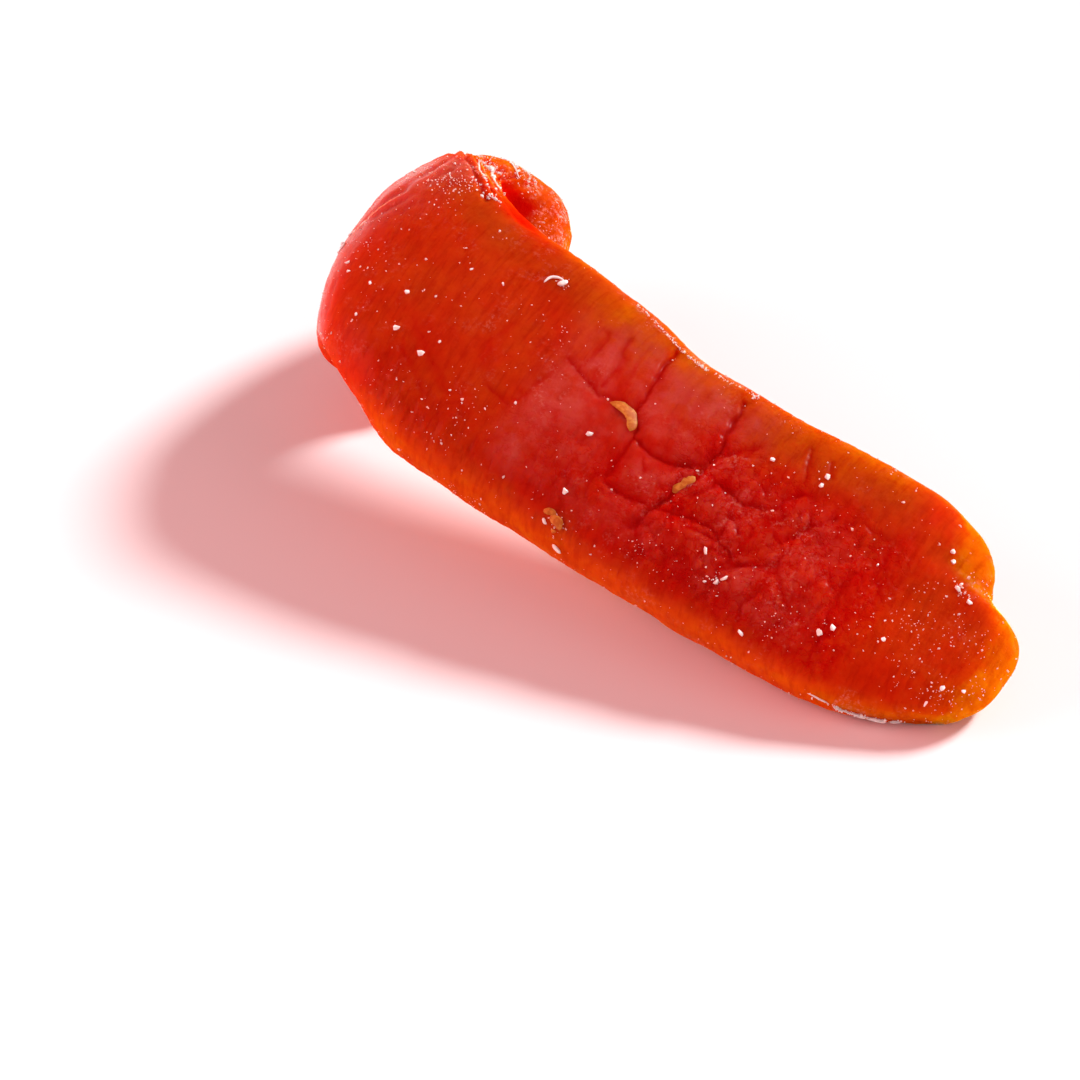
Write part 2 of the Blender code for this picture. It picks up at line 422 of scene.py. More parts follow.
# fine stretch marks across the spear, strongest towards the fold
def stretchMarks(at, y, flat):
    drawn = np.stack([at + 0.5 * noise(flat, 7, 81), 0.2 * y, 0 * y], axis=-1)
    return texture["marks"] * layered(drawn, 0.9, 83, 2) * (0.6 + 0.7 * ease(70, 84, at))


# the summed bells of the fold's grooves and ridges, uneven in height
def foldRidges(at, y, up, flat):
    wavy = at + 0.2 * layered(flat, 2, 89)
    ridges = sum(height * bell(distanceToLine(wavy, y, line), width) for line, width, height in foldLines)
    return ridges * ease(-0.1, 0.25, up) * (0.75 + 0.5 * noise(flat, 4, 91))


# depth of the folds in the gathered back edge of the fold
def pinchDepth(points, at, y, across, up):
    scale = texture["perDegree"]
    wavy = scale * ovalAngle(across, up) + 0.25 * layered(points, 2.5, 97)
    tuck = np.zeros_like(at)
    for line, width, depth in pinchFolds:
        bent = [(a, scale * degrees) for a, degrees in line]
        tuck = np.maximum(tuck, depth * bell(distanceToLine(at, wavy, bent), width))
    return tuck * (y > 12)


# gentle noise, the tables of swellings and a waist behind the long crack
def swelling(points, at, y, up):
    coarse, fine = texture["swell"]
    swell = coarse * noise(points, 11, 109) + fine * noise(points, 5, 113) + mounds(at, y, swells)
    swell = swell - texture["waist"] * bell(at - 52.5, 5.5) * ease(9, 15, y)
    return swell + mounds(at, y, lowerSwells) * (up < 0)


# long fibres and shallow dimples of the skin side
def skinRelief(points, at, y, up):
    drawn = np.stack([0.1 * at, y, 6 * up], axis=-1)
    fibres, dimples = texture["skin"]
    skin = fibres * layered(drawn, 1.3, 101, 3) + dimples * noise(points, 5, 103)
    return skin * ease(0.2, -0.4, up)


# height of the surface above the plain form, nothing at the poles, and how dark its creases are coloured:
# the deeper red of the cracks, and painted shade in the grooves, plate borders, pleats and folds
def relief(points, at, y, across, up):
    flat = np.stack([at, y, 4 * (up < 0)], axis=-1)
    seedSide = ease(-0.15, 0.45, up)
    inside = seedSide * ease(1, 0.86, np.abs(across))
    plated = wrinkledZone(at, y) * inside
    groove, crackRedAndShade = crackGrooves(at, y, flat)
    plates, borders = plateRelief(at, y, flat)
    pleats = pleatDepth(at, y) * seedSide
    marks = stretchMarks(at, y, flat) * inside
    ridges = foldRidges(at, y, up, flat)
    tuck = pinchDepth(points, at, y, across, up)
    # the deep crevice behind the edge next to the gathered folds
    crevice = bell(at - 82, 5) * bell(up - 0.35, 0.3) * (y > 8) * (across > 0.5)
    grain = texture["grain"] * layered(points, 0.8, 127, 2)
    front = ease(-5, -9, y) * ease(40, 50, at) * ease(0, 0.5, up)
    grain = grain + texture["frontGrain"] * layered(points, 0.7, 129, 2) * front
    dips = groove * inside + pleats + tuck + texture["crevice"] * crevice
    height = swelling(points, at, y, up) + grain + plated * plates + marks + ridges - dips
    height = height + skinRelief(points, at, y, up)
    ends = ease(0, 1.2, at) * ease(0, 1, spearLength - at)
    # crease colour amount: the flesh's deeper red in the cracks, and painted shade in plate borders,
    # pleats, folds, fold grooves and marks
    creaseRedAndShade = crackRedAndShade * inside + plated * borders + 3.2 * pleats + tuck / 0.9
    creaseRedAndShade = creaseRedAndShade + np.clip(-1.6 * ridges, 0, 0.6) + 4 * np.clip(-marks - 0.02, 0, 0.1)
    return height * ends, np.clip(creaseRedAndShade, 0, 1)


# strongest orange of each part, none in the red heart
orange = {
    "lobe": 0.7, "lobeEdge": 0.3, "blunt": 0.24, "backStrip": 0.72, "upperBody": 0.27, "foldTop": 0.2,
    "frontSide": 0.68, "bluntSide": 0.08, "backSide": 0.72, "skin": 0.8,
}
# strongest sugar film of each part; along the back edge it is also painted sheen
film = {"skin": 0.75, "pinch": 0.6, "flap": 0.04, "wisps": 0.25, "front": 0.8, "back": 0.95, "patchy": 0.2}


# how orange and bright the flesh is, the largest of its parts: its own orange towards the edges, brightened
# as painted glow where light shines through thin rims
def rimColour(points, at, y, up):
    ragged = layered(points, 3.5, 131)
    middle, half = 0.5 * (backEdge(at) + frontEdge(at)), 0.5 * (backEdge(at) - frontEdge(at))
    relative = np.clip(np.abs(y - middle) / half, 0, 1)
    power = spear["roundSquareness"][0]
    outline = spear["roundReach"][0] * (1 - (1 - relative**power) ** (1 / power))
    fromEnd = at - outline + 1.1 * ragged + 0.5 * layered(points, 1, 133)
    fromEnd = fromEnd - 2.4 * bell(y - 12, 4.5) + 9 * ease(-4, -13, y)
    lobes = orange["lobe"] * ease(10, 2.5, fromEnd) + orange["lobeEdge"] * ease(5, 1.5, fromEnd)
    blunt = orange["blunt"] * ease(22, 14, at)
    backStrip = orange["backStrip"] * ease(1, 16, y + 1.2 * ragged) * ease(12, 24, at)
    backStrip = backStrip * (1 - 0.6 * ease(60, 74, at))
    body = orange["upperBody"] * ease(58, 72, at + 2 * ragged)
    body = body + orange["foldTop"] * ease(86, 95, at) * ease(2, 20, y)
    side = ease(0.86, 0.36, up + 0.08 * ragged)
    frontSide = (orange["frontSide"] + orange["bluntSide"] * ease(22, 12, at)) * side * (y < 5)
    frontSide = frontSide * ease(94, 78, at) * (1 - 0.35 * ease(0.3, -0.2, up) * ease(28, 18, at))
    backSide = orange["backSide"] * side * (y >= 5)
    skin = orange["skin"] * ease(0.1, -0.5, up) * (1 - 0.5 * ease(90, 98, at))
    skin = skin * (1 - 0.45 * ease(28, 18, at))
    return np.clip(np.maximum.reduce([lobes, blunt, backStrip, body, frontSide, backSide, skin]), 0, 1)


# pure red where light glows through: in the crevice behind the flap and inside the flap
def glowAmount(at, y, up):
    crevice = 0.95 * bell(at - 82, 5.5) * band(up, -0.6, -0.1, 0.55, 0.8) * (y > 8)
    inner = band(at, 96, 100, 109, 113) * ease(31.4, 29.4, y) * ease(0.3, -0.2, up)
    return np.clip(np.maximum(crevice, inner), 0, 1)


# where sugar has dried on as a pale film, the largest of its parts; the line along the back edge is also
# painted sheen
def frostAmount(points, at, y, across, up):
    films = np.maximum.reduce([
        film["skin"] * ease(-0.1, -0.6, up),
        film["pinch"] * bell(at - 89.5, 4) * bell(y - 23, 3) * ease(85.5, 88, at),
        film["flap"] * ease(92, 100, at) * ease(14, 24, y),
        film["wisps"] * wrinkledZone(at, y) * bell(layered(points, 2.4, 141), 0.12),
        film["front"] * ease(14, 9, at) * bell(y + 13.2, 1.6),
        # a pale line along the back edge: sugar film and painted sheen
        film["back"] * bell(at - 54, 9) * bell(across - 0.91, 0.035),
    ])
    films = films + film["patchy"] * layered(points, 4, 139)
    return np.clip(films * (1 - glowAmount(at, y, up)), 0, 1)


# the band along the rim of the fold, where the flesh is stretched smooth
def foldRim(at, y, up):
    rim = [(95.5, -6), (96.7, 0), (96.7, 5), (94.9, 9.5), (93, 14), (93, 20)]
    return bell(distanceToLine(at, y, rim), 3) * ease(0.1, 0.5, up)


# paler and pinker flesh as painted sheen: on the tops of the blocks and plates, and on the rim of the fold
def paintedSheenAmount(points, at, y, up):
    zone = band(at, 19, 27, 62, 68) * band(y, -13, -9, 9, 15)
    zone = zone * np.maximum(ease(36, 42, at), ease(6, 0, y)) * ease(0.3, 0.7, up)
    zone = zone * np.clip(0.6 + 0.5 * layered(points, 4, 151), 0, 1)
    return np.maximum(zone, 0.8 * foldRim(at, y, up))


# meshes from arrays

# an object in the scene from rows of points and lists of corners
def meshObject(name, points, faces, smooth=True):
    mesh = bpy.data.meshes.new(name)
    mesh.from_pydata(points.reshape(-1, 3).tolist(), [], faces)
    mesh.polygons.foreach_set("use_smooth", np.full(len(mesh.polygons), smooth))
    mesh.update()
    thing = bpy.data.objects.new(name, mesh)
    bpy.context.scene.collection.objects.link(thing)
    return thing


# quads between neighbouring rings, and a fan from a pole to the ring at each end
def ringFaces(rings, around):
    here = np.arange(rings * around).reshape(rings, around)
    after = np.roll(here, -1, axis=1)
    quads = np.stack([here[:-1], after[:-1], after[1:], here[1:]], axis=-1).reshape(-1, 4)
    first = np.stack([np.full(around, here.size), after[0], here[0]], axis=-1)
    last = np.stack([np.full(around, here.size + 1), here[-1], after[-1]], axis=-1)
    return quads.tolist() + first.tolist() + last.tolist()


# one number for each vertex, which the finishes read by name
def addNumbers(mesh, name, values):
    layer = mesh.attributes.new(name, "FLOAT", "POINT")
    layer.data.foreach_set("value", values.astype(np.float32).ravel())


# a grid's rows, then the mean of its first ring and of its last, for the poles
def withPoles(grid):
    rows = grid.reshape(-1, *grid.shape[2:])
    return np.concatenate([rows, [grid[0].mean(axis=0), grid[-1].mean(axis=0)]])


# the sum over the faces' triangles of a . (b x c) / 6
def enclosedVolume(points, faces):
    corners = np.array([(f[0], f[i - 1], f[i]) for f in faces for i in range(2, len(f))])
    a, b, c = points[corners.T]
    return np.sum(a * np.cross(b, c)) / 6


# a grid closed at both poles, with its faces turned so that it encloses a positive volume
def closedForm(grid):
    points = withPoles(grid)
    faces = ringFaces(*grid.shape[:2])
    if enclosedVolume(points, faces) < 0:
        faces = [face[::-1] for face in faces]
    return points, faces


# the plain form moved out along its normals by the relief, with the numbers of its finish
def makeSpear():
    plain, at, y, across, up = spearGrid()
    height, creaseRedAndShade = relief(plain, at, y, across, up)
    placed = laidDown(plain + gridNormals(plain) * height[..., None], plain)
    points, faces = closedForm(placed)
    thing = meshObject("papaya_flesh", points, faces)
    numbers = {
        # how dark the creases are coloured: deeper red in the cracks, painted shade in the other grooves
        "creaseRedAndShade": creaseRedAndShade,
        "rim": rimColour(plain, at, y, up),
        "frost": frostAmount(plain, at, y, across, up),
        "glow": glowAmount(at, y, up),
        # painted pink sheen on block tops and on the fold's rim
        "paintedSheen": paintedSheenAmount(plain, at, y, up),
        "wrinkled": wrinkledZone(at, y) * ease(0.2, 0.7, up),
        # gloss, strong on the rim of the fold and slight on the front of the body
        "shine": np.maximum(0.9 * foldRim(at, y, up), 0.06 * ease(14, 20, at) * ease(13, 7, y)),
        # painted shade, darker at the back edge, and painted light, brighter at the front of the blunt end
        "paintedBackShade": ease(0.3, 0.75, across) * ease(0, 0.5, up) * band(at, 14, 24, 90, 96),
        "paintedFrontLight": ease(36, 14, at) * ease(5, -4, y),
    }
    for name, values in numbers.items():
        addNumbers(thing.data, name, withPoles(values))
    print("flesh:", len(faces), "faces")
    surface = {
        "points": placed, "normal": gridNormals(placed), "at": at, "y": y, "up": up,
        "bearing": np.degrees(np.arctan2(up, across)),
        "ringStep": np.gradient(placed, axis=0),
        "sideStep": 0.5 * (np.roll(placed, -1, axis=1) - np.roll(placed, 1, axis=1)),
    }
    return thing, surface


# sugar and seed bits

sugar = {
    "seed": 404,
    # loose crystals: how many forms, corners of each, how many in all, half sizes in mm, skew, pinkness
    "loose": [(5, 6, 3000, (0.07, 0.15), 2.2, 0.75), (8, 10, 640, (0.12, 0.26), 1.8, 0.45)],
    "sunk": 0.4,  # share of its size
    "stretch": (0.55, 1.35),  # each way, limits
    "pinkSpread": (0.3, 1.5),
    "largeScale": 1.2,
    "largeCorners": 16,
    "largePink": 0.1,
    "crustPink": 0.05,
    "crustDegrees": 5,  # spread round the section, for each mm along it
    "crustScatter": 0.06,  # mm
    "clusterPink": 0.5,
    "clusterSpread": 0.6,  # share of the radius
    "flakePink": 0.15,
    "flakeRise": 0.6,  # share of the half thickness
    "clearOfFloor": 0.6,  # mm
    "lowest": 0.02,
}
# the large crystals: along, across, half size
largeCrystals = [
    (85.4, 1.6, 0.34), (83.9, -3, 0.42), (79.5, -4.4, 0.42), (81.9, 15.4, 0.28), (55.8, -2.2, 0.4),
    (54.3, -9.7, 0.34), (36.4, -7.4, 0.42), (32.8, -8.8, 0.4), (33.6, -9.6, 0.34), (34.4, -10.4, 0.3),
    (27.9, -13.1, 0.38), (36.2, 6.9, 0.3), (29.8, 8.9, 0.32), (29.8, 7.1, 0.32), (20.1, -8.2, 0.34),
    (19.3, -6.9, 0.32), (13.7, -4.7, 0.34), (8.1, 9.8, 0.34), (6.9, 8.7, 0.34), (8.1, 6.6, 0.34),
    (8.1, 5.9, 0.38), (7.6, 5.3, 0.34), (4.2, -5.4, 0.3), (2.7, -4.3, 0.28), (3.8, -7.8, 0.3),
    (95.6, 6.4, 0.42), (92.6, 2.8, 0.3), (91.9, 1.4, 0.28), (89, 0.8, 0.26), (76.6, 8.8, 0.24),
    (78.4, -1.8, 0.22), (82.6, 2.8, 0.2), (80.9, 8.4, 0.2), (88.4, -3.6, 0.24), (73.6, -6.2, 0.2),
]
# crusts: two (along, bearing) ends, how many grains, half sizes, spread; the bearing is the direction of
# (across, up) in degrees, 0 at the back edge and 90 on top
crusts = [
    ((17.5, 171), (11.8, 172), 14, (0.1, 0.2), 0.5),
    ((11.7, 172), (8.2, 181), 60, (0.1, 0.3), 0.22),
    ((8.2, 181), (3.8, 189), 80, (0.12, 0.36), 0.26),
    ((62.5, 29), (57, 34), 50, (0.08, 0.2), 0.12),
    ((57, 34), (50, 36), 90, (0.08, 0.26), 0.12),
    ((50, 36), (43, 32), 40, (0.08, 0.2), 0.16),
    ((93.2, 13), (87.2, 32), 60, (0.1, 0.3), 0.14),
    ((94.5, 5), (88.5, 16), 40, (0.1, 0.26), 0.14),
    ((95.6, -8), (88.2, 1), 130, (0.12, 0.42), 0.16),
    ((91, 60), (88, 38), 50, (0.1, 0.26), 0.6),
    ((86.6, 42), (85.2, 38), 20, (0.14, 0.34), 0.35),
    ((98.5, 30), (99, -28), 60, (0.1, 0.24), 0.5),
    ((102, 10), (106, -35), 50, (0.1, 0.24), 0.9),
    ((103.2, 2), (102.6, -30), 40, (0.08, 0.22), 0.25),
    ((105.8, -2), (105.4, -30), 30, (0.08, 0.2), 0.3),
]
# thin rims of sugar: (along, bearing) line, half width, half thickness
rimFlakes = [
    ([(17.5, 168), (15, 170), (12.6, 172)], 0.13, 0.1),
    ([(11.9, 172.5), (10.2, 176), (8.4, 180)], 0.18, 0.12),
    ([(8.3, 181), (7.2, 183), (6.3, 185)], 0.28, 0.2),
    ([(6.4, 184.6), (5.3, 187), (4.6, 188.5)], 0.32, 0.22),
    ([(4.4, 187), (3.7, 190)], 0.2, 0.16),
    ([(96, -8), (93.5, -4), (91, -2)], 0.22, 0.16),
    ([(90.8, -1), (89.6, 0), (88.4, 1.5)], 0.18, 0.14),
    ([(92.9, 14), (91, 18), (89.4, 24)], 0.14, 0.1),
    ([(103.4, 0), (102.4, -14), (103, -30)], 0.15, 0.1),
    ([(105.6, -4), (105.2, -16), (105.6, -28)], 0.12, 0.1),
]
# loose clusters on the seed side: along, across, radius, how many grains, half sizes
clusters = [
    (3.6, -6, 1.9, 40, (0.07, 0.18)), (8, 5.8, 0.7, 22, (0.08, 0.24)), (33.6, -9.4, 1.5, 22, (0.07, 0.18)),
    (53.4, -13.6, 1.1, 24, (0.08, 0.2)), (70.9, 13.2, 0.8, 12, (0.07, 0.16)),
    (88.8, 18, 1.6, 30, (0.07, 0.2)), (91.5, 5.8, 1.6, 16, (0.07, 0.18)),
    (20, -7.6, 1.6, 16, (0.06, 0.14)), (43.6, -10.6, 1.2, 18, (0.06, 0.15)),
    (10, -1, 3.6, 60, (0.06, 0.14)), (5.4, 1, 2.4, 36, (0.06, 0.14)), (2.6, 8, 1.8, 26, (0.06, 0.14)),
    (1.8, -3, 1.4, 30, (0.06, 0.16)), (24, -9.5, 3, 30, (0.06, 0.14)),
]
# where loose crystals lie closer: how much, along, length, across, width
sugarPatches = [
    (1.4, 12, 9, -4, 8), (1.6, 87, 6, 21, 6), (1.4, 30, 10, -6, 6), (2.6, 68, 18, -12, 4.5),
]
# flat flakes of sugar: (along, across) line, half width, half thickness
sugarFlakes = [
    ([(72.8, 12), (72.7, 13.1), (71.9, 13.7), (70.9, 13.8)], 0.2, 0.16),
    ([(71.3, 12.6), (70.8, 13.2), (70.6, 13.9)], 0.36, 0.24),
    ([(52.9, -15.5), (51.6, -15.8)], 0.32, 0.2),
    ([(55.2, -13.7), (54.5, -14.1)], 0.24, 0.14),
    ([(95.9, 7.6), (95.4, 8.6), (94.3, 9.9)], 0.26, 0.22),
    ([(96.2, 5.6), (95.4, 6.4)], 0.3, 0.16),
]
# remains of the seeds' skins: (along, across) line, half width, half thickness
seedFlakes = [
    ([(56.4, 2.4), (55, 2.9), (53.6, 2.7), (52.7, 1.8), (52.2, 0.5)], 0.85, 0.11),
    ([(43.8, -2.9), (43.3, -1.4), (42.8, 0.1)], 0.85, 0.16),
    ([(55.5, -13.1), (54.6, -12.7), (53.8, -12.9)], 0.42, 0.18),
    ([(54.5, -13.2), (53.3, -13.1), (52.7, -13.9)], 0.62, 0.2),
    ([(53.5, -14.3), (53, -14.2)], 0.3, 0.16),
]


# the convex hull of random points, 0.75 to 1 away in random directions: its corners and its triangles
def shard(rng, count):
    points = rng.normal(size=(count, 3))
    points *= rng.uniform(0.75, 1, (count, 1)) / np.linalg.norm(points, axis=1, keepdims=True)
    shape = bmesh.new()
    for point in points:
        shape.verts.new(point)
    bmesh.ops.convex_hull(shape, input=shape.verts[:])
    bmesh.ops.delete(shape, geom=[vert for vert in shape.verts if not vert.link_faces], context="VERTS")
    bmesh.ops.recalc_face_normals(shape, faces=shape.faces[:])
    shape.verts.index_update()
    corners = np.array([vert.co[:] for vert in shape.verts])
    triangles = np.array([[vert.index for vert in face.verts] for face in shape.faces])
    shape.free()
    return corners, triangles


# copies of some corners, each turned by a random unit quaternion (w, q): p + 2w (q x p) + 2 q x (q x p)
def turned(copies, rng):
    q = rng.normal(size=(len(copies), 1, 4))
    q /= np.linalg.norm(q, axis=-1, keepdims=True)
    once = np.cross(q[..., 1:], copies)
    return copies + 2 * (q[..., :1] * once + np.cross(q[..., 1:], once))


# copies of one form, each stretched, turned and set down at its place, with how pink each is
def scatter(form, places, sizes, pink, rng):
    corners, triangles = form
    count = len(places)
    stretch = sizes[:, None] * rng.uniform(*sugar["stretch"], (count, 3))
    points = turned(corners * stretch[:, None, :], rng) + places[:, None, :]
    faces = triangles + (np.arange(count) * len(corners))[:, None, None]
    tints = np.repeat(np.clip(pink * rng.uniform(*sugar["pinkSpread"], count), 0, 1), len(corners))
    return points.reshape(-1, 3), faces.reshape(-1, 3).tolist(), tints


# the grid point of the seed side nearest to a distance along and one across
def acrossPlace(surface, at, y):
    away = np.where(surface["up"] > 0, (surface["at"] - at) ** 2 + (surface["y"] - y) ** 2, np.inf)
    return int(np.argmin(away))


# the grid point nearest to a distance along and a bearing, where a degree counts as 0.2 mm
def bearingPlace(surface, at, bearing):
    between = (surface["bearing"] - bearing + 180) % 360 - 180
    return int(np.argmin((surface["at"] - at) ** 2 + (0.2 * between) ** 2))


# places near the picked grid points, raised along the normal by what a crystal doesn't sink in
def onSurface(surface, picks, sizes, rng):
    points, normal, ringStep, sideStep = (
        surface[key].reshape(-1, 3)[picks] for key in ("points", "normal", "ringStep", "sideStep")
    )
    aside = rng.uniform(-0.5, 0.5, (len(points), 2))
    points = points + aside[:, :1] * ringStep + aside[:, 1:] * sideStep
    return points + normal * (1 - 2 * sugar["sunk"]) * sizes[:, None]


# half sizes in metres: low + (high - low) * random^skew, so most are small
def someSizes(rng, limits, count, skew=2):
    low, high = limits
    return mm * (low + (high - low) * rng.random(count) ** skew)


# a closed flake laid along a line on the surface: oval sections that taper to both ends
def flake(surface, place, line, halfWidth, halfThick, rng, rings=13, around=10):
    t = np.linspace(0, 1, rings)
    legs = np.linspace(0, 1, len(line))
    along, over = (curve(list(zip(legs, track)), t) for track in zip(*line))
    picks = [place(surface, a, c) for a, c in zip(along, over)]
    centre = surface["points"].reshape(-1, 3)[picks]
    normal = surface["normal"].reshape(-1, 3)[picks].mean(axis=0)
    normal /= np.linalg.norm(normal)
    for _ in range(3):
        centre[1:-1] = (centre[:-2] + centre[1:-1] + centre[2:]) / 3
    forward = np.gradient(centre, axis=0)
    forward /= np.linalg.norm(forward, axis=1, keepdims=True)
    side = np.cross(forward, normal)
    fat = np.sqrt(np.clip(1 - (2 * t - 1) ** 2, 0.004, 1)) * rng.uniform(0.9, 1.1, rings)
    angle = np.linspace(0, 2 * math.pi, around, endpoint=False)
    wide = halfWidth * np.cos(angle)[:, None] * side[:, None, :]
    oval = fat[:, None, None] * (wide + halfThick * np.sin(angle)[:, None] * normal)
    rise = sugar["flakeRise"] * halfThick * normal
    points, faces = closedForm(centre[:, None, :] + mm * (oval + rise))
    return points, faces, np.full(len(points), sugar["flakePink"])


# one object from parts of (points, faces, pinkness)
def joined(name, parts, smooth):
    points = np.concatenate([part[0] for part in parts])
    points[:, 2] = np.maximum(points[:, 2], sugar["lowest"] * mm)
    faces, start = [], 0
    for somePoints, someFaces, _ in parts:
        faces += [[corner + start for corner in face] for face in someFaces]
        start += len(somePoints)
    thing = meshObject(name, points, faces, smooth)
    addNumbers(thing.data, "pink", np.concatenate([part[2] for part in parts]))
    print(name + ":", len(faces), "faces")
    return thing


# each grid point's share of the loose crystals: its area, more in patches, less where the flesh is bare
def sugarShares(surface):
    at, y, up = surface["at"], surface["y"], surface["up"]
    points = surface["points"] / mm
    area = np.linalg.norm(np.cross(np.gradient(points, axis=0), np.gradient(points, axis=1)), axis=-1)
    patchy = np.clip(0.5 + 0.9 * layered(points, 5, 211), 0.05, 2)
    more = 1 + mounds(at, y, sugarPatches) + 1.8 * ease(90, 94, at) * ease(12, 18, y) + 0.8 * (up < 0)
    bare = np.maximum(bell(at - 9, 6) * bell(y + 11.5, 3), glowAmount(at, y, up))
    share = (area * patchy * more * (1 - 0.9 * bare) * (points[..., 2] > sugar["clearOfFloor"])).ravel()
    return share / share.sum()


# loose crystals, then the large ones, crusts, clusters and flakes
def makeSugar(surface):
    rng = np.random.default_rng(sugar["seed"])
    shares = sugarShares(surface)
    forms = [[shard(rng, corners) for _ in range(kinds)] for kinds, corners, *_ in sugar["loose"]]
    grains = forms[-1]
    parts = []

    def add(form, picks, sizes, pink, spread=None):
        places = onSurface(surface, picks, sizes, rng)
        if spread:
            places = places + rng.normal(0, spread * mm, places.shape)
        parts.append(scatter(form, places, sizes, pink, rng))

    for kinds, (number, _, total, limits, skew, pink) in zip(forms, sugar["loose"]):
        for form in kinds:
            sizes = someSizes(rng, limits, total // number, skew)
            add(form, rng.choice(shares.size, len(sizes), p=shares), sizes, pink)
    for a, c, size in largeCrystals:
        sizes = np.array([sugar["largeScale"] * size * mm])
        add(shard(rng, sugar["largeCorners"]), [acrossPlace(surface, a, c)], sizes, sugar["largePink"])
    for number, (first, last, count, limits, spread) in enumerate(crusts):
        t = rng.random(count)
        a, bearing = (
            start + t * (end - start) + rng.normal(0, scale * spread, count)
            for start, end, scale in zip(first, last, (1, sugar["crustDegrees"]))
        )
        picks = [bearingPlace(surface, *place) for place in zip(a, bearing)]
        sizes = someSizes(rng, limits, count)
        add(grains[number % len(grains)], picks, sizes, sugar["crustPink"], sugar["crustScatter"])
    for number, (a, c, radius, count, limits) in enumerate(clusters):
        places = rng.normal((a, c), sugar["clusterSpread"] * radius, (count, 2))
        picks = [acrossPlace(surface, *place) for place in places]
        sizes = someSizes(rng, limits, count)
        add(grains[3 * number % len(grains)], picks, sizes, sugar["clusterPink"])
    for place, flakes in ((acrossPlace, sugarFlakes), (bearingPlace, rimFlakes)):
        parts.extend(flake(surface, place, line, wide, thick, rng) for line, wide, thick in flakes)
    return joined("sugar_crystals", parts, smooth=False)


# the flakes of the seeds' skins
def makeSeedBits(surface):
    rng = np.random.default_rng(sugar["seed"] + 1)
    parts = [flake(surface, acrossPlace, line, wide, thick, rng) for line, wide, thick in seedFlakes]
    return joined("seed_bits", parts, smooth=True)


# finishes

# a material with its node tree and shader
def newMaterial(name):
    material = bpy.data.materials.new(name)
    material.use_nodes = True
    tree = material.node_tree
    return material, tree, tree.nodes["Principled BSDF"]


# constant numbers on a node's own sockets
def setSockets(node, values):
    for name, value in values.items():
        node.inputs[name].default_value = value


# joins an output to a socket
def link(tree, output, socket):
    tree.links.new(output, socket)


# the mesh's numbers of this name
def attributeNode(tree, name):
    node = tree.nodes.new("ShaderNodeAttribute")
    node.attribute_name = name
    return node.outputs["Fac"]


# noise about 0.5, at a scale per metre
def noiseNode(tree, where, scale, detail, roughness):
    node = tree.nodes.new("ShaderNodeTexNoise")
    setSockets(node, {"Scale": scale, "Detail": detail, "Roughness": roughness})
    link(tree, where, node.inputs["Vector"])
    return node.outputs["Fac"]


# one operation on two numbers or sockets
def mathNode(tree, operation, first, second):
    node = tree.nodes.new("ShaderNodeMath")
    node.operation = operation
    for socket, value in zip(node.inputs, (first, second)):
        if isinstance(value, (int, float)):
            socket.default_value = value
        else:
            link(tree, value, socket)
    return node.outputs[0]


# a value eased from one range, low to high, to another
def rangeNode(tree, value, low, high, toLow, toHigh):
    node = tree.nodes.new("ShaderNodeMapRange")
    node.interpolation_type = "SMOOTHSTEP"
    setSockets(node, {"From Min": low, "From Max": high, "To Min": toLow, "To Max": toHigh})
    link(tree, value, node.inputs["Value"])
    return node.outputs["Result"]


# noise with the used part of its range eased to another range
def patchNode(tree, where, row):
    return rangeNode(tree, noiseNode(tree, where, *row[:3]), *row[3:])


# colours blended between (place, colour) stops
def rampNode(tree, value, stops):
    node = tree.nodes.new("ShaderNodeValToRGB")
    ramp = node.color_ramp
    while len(ramp.elements) < len(stops):
        ramp.elements.new(0.5)
    for element, (place, colour) in zip(ramp.elements, stops):
        element.position = place
        element.color = (*colour, 1)
    link(tree, value, node.inputs["Fac"])
    return node.outputs["Color"]


# first mixed with second by a factor's socket, or multiplied by it
def mixNode(tree, factor, first, second, blend="MIX"):
    node = tree.nodes.new("ShaderNodeMix")
    node.data_type = "RGBA"
    node.blend_type = blend
    for socket, value in ((node.inputs[0], factor), (node.inputs[6], first), (node.inputs[7], second)):
        if isinstance(value, tuple):
            socket.default_value = (*value, 1)
        else:
            link(tree, value, socket)
    return node.outputs[2]


flesh = {
    "heart": (0.50, 0.012, 0.0022),
    "halfway": (0.51, 0.043, 0.0036),
    # the edge and rim colours are brighter too: painted glow of light through the thin rims
    "edge": (0.57, 0.070, 0.0014),
    "rim": (0.61, 0.163, 0.0012),
    # dark red of the creases: the flesh's deeper red in cracks, and painted shade in grooves and folds
    "crack": (0.46, 0.0006, 0.0004),
    # pink of the painted sheen
    "pinkSheen": (0.52, 0.062, 0.044),
    "glow": (0.50, 0.002, 0.0004),
    "film": (0.90, 0.52, 0.42),
    # colours that multiply the others
    "mottle": (0.8, 0.5, 0.5),
    "fibre": (0.72, 0.35, 0.4),
    # painted shade for the back edge, then painted light for the front of the blunt end
    "paintedBackShade": (0.78, 0.93, 0.85),
    "paintedFrontLight": (1.2, 1.15, 1),
    # strengths
    "creaseShare": 0.9,
    "lineShare": 0.6,
    "filmShare": 0.7,
    "filmRoughness": 0.3,
    "fibresPulled": (1, 0.16, 0.3),
    "bump": {"Strength": 0.8, "Distance": 0.00015},
    "sockets": {
        "IOR": 1.47, "Specular IOR Level": 0, "Subsurface Weight": 1, "Coat Roughness": 0.25,
        "Subsurface Radius": (1, 0.2, 0.04), "Subsurface Scale": 0.008,
    },
}
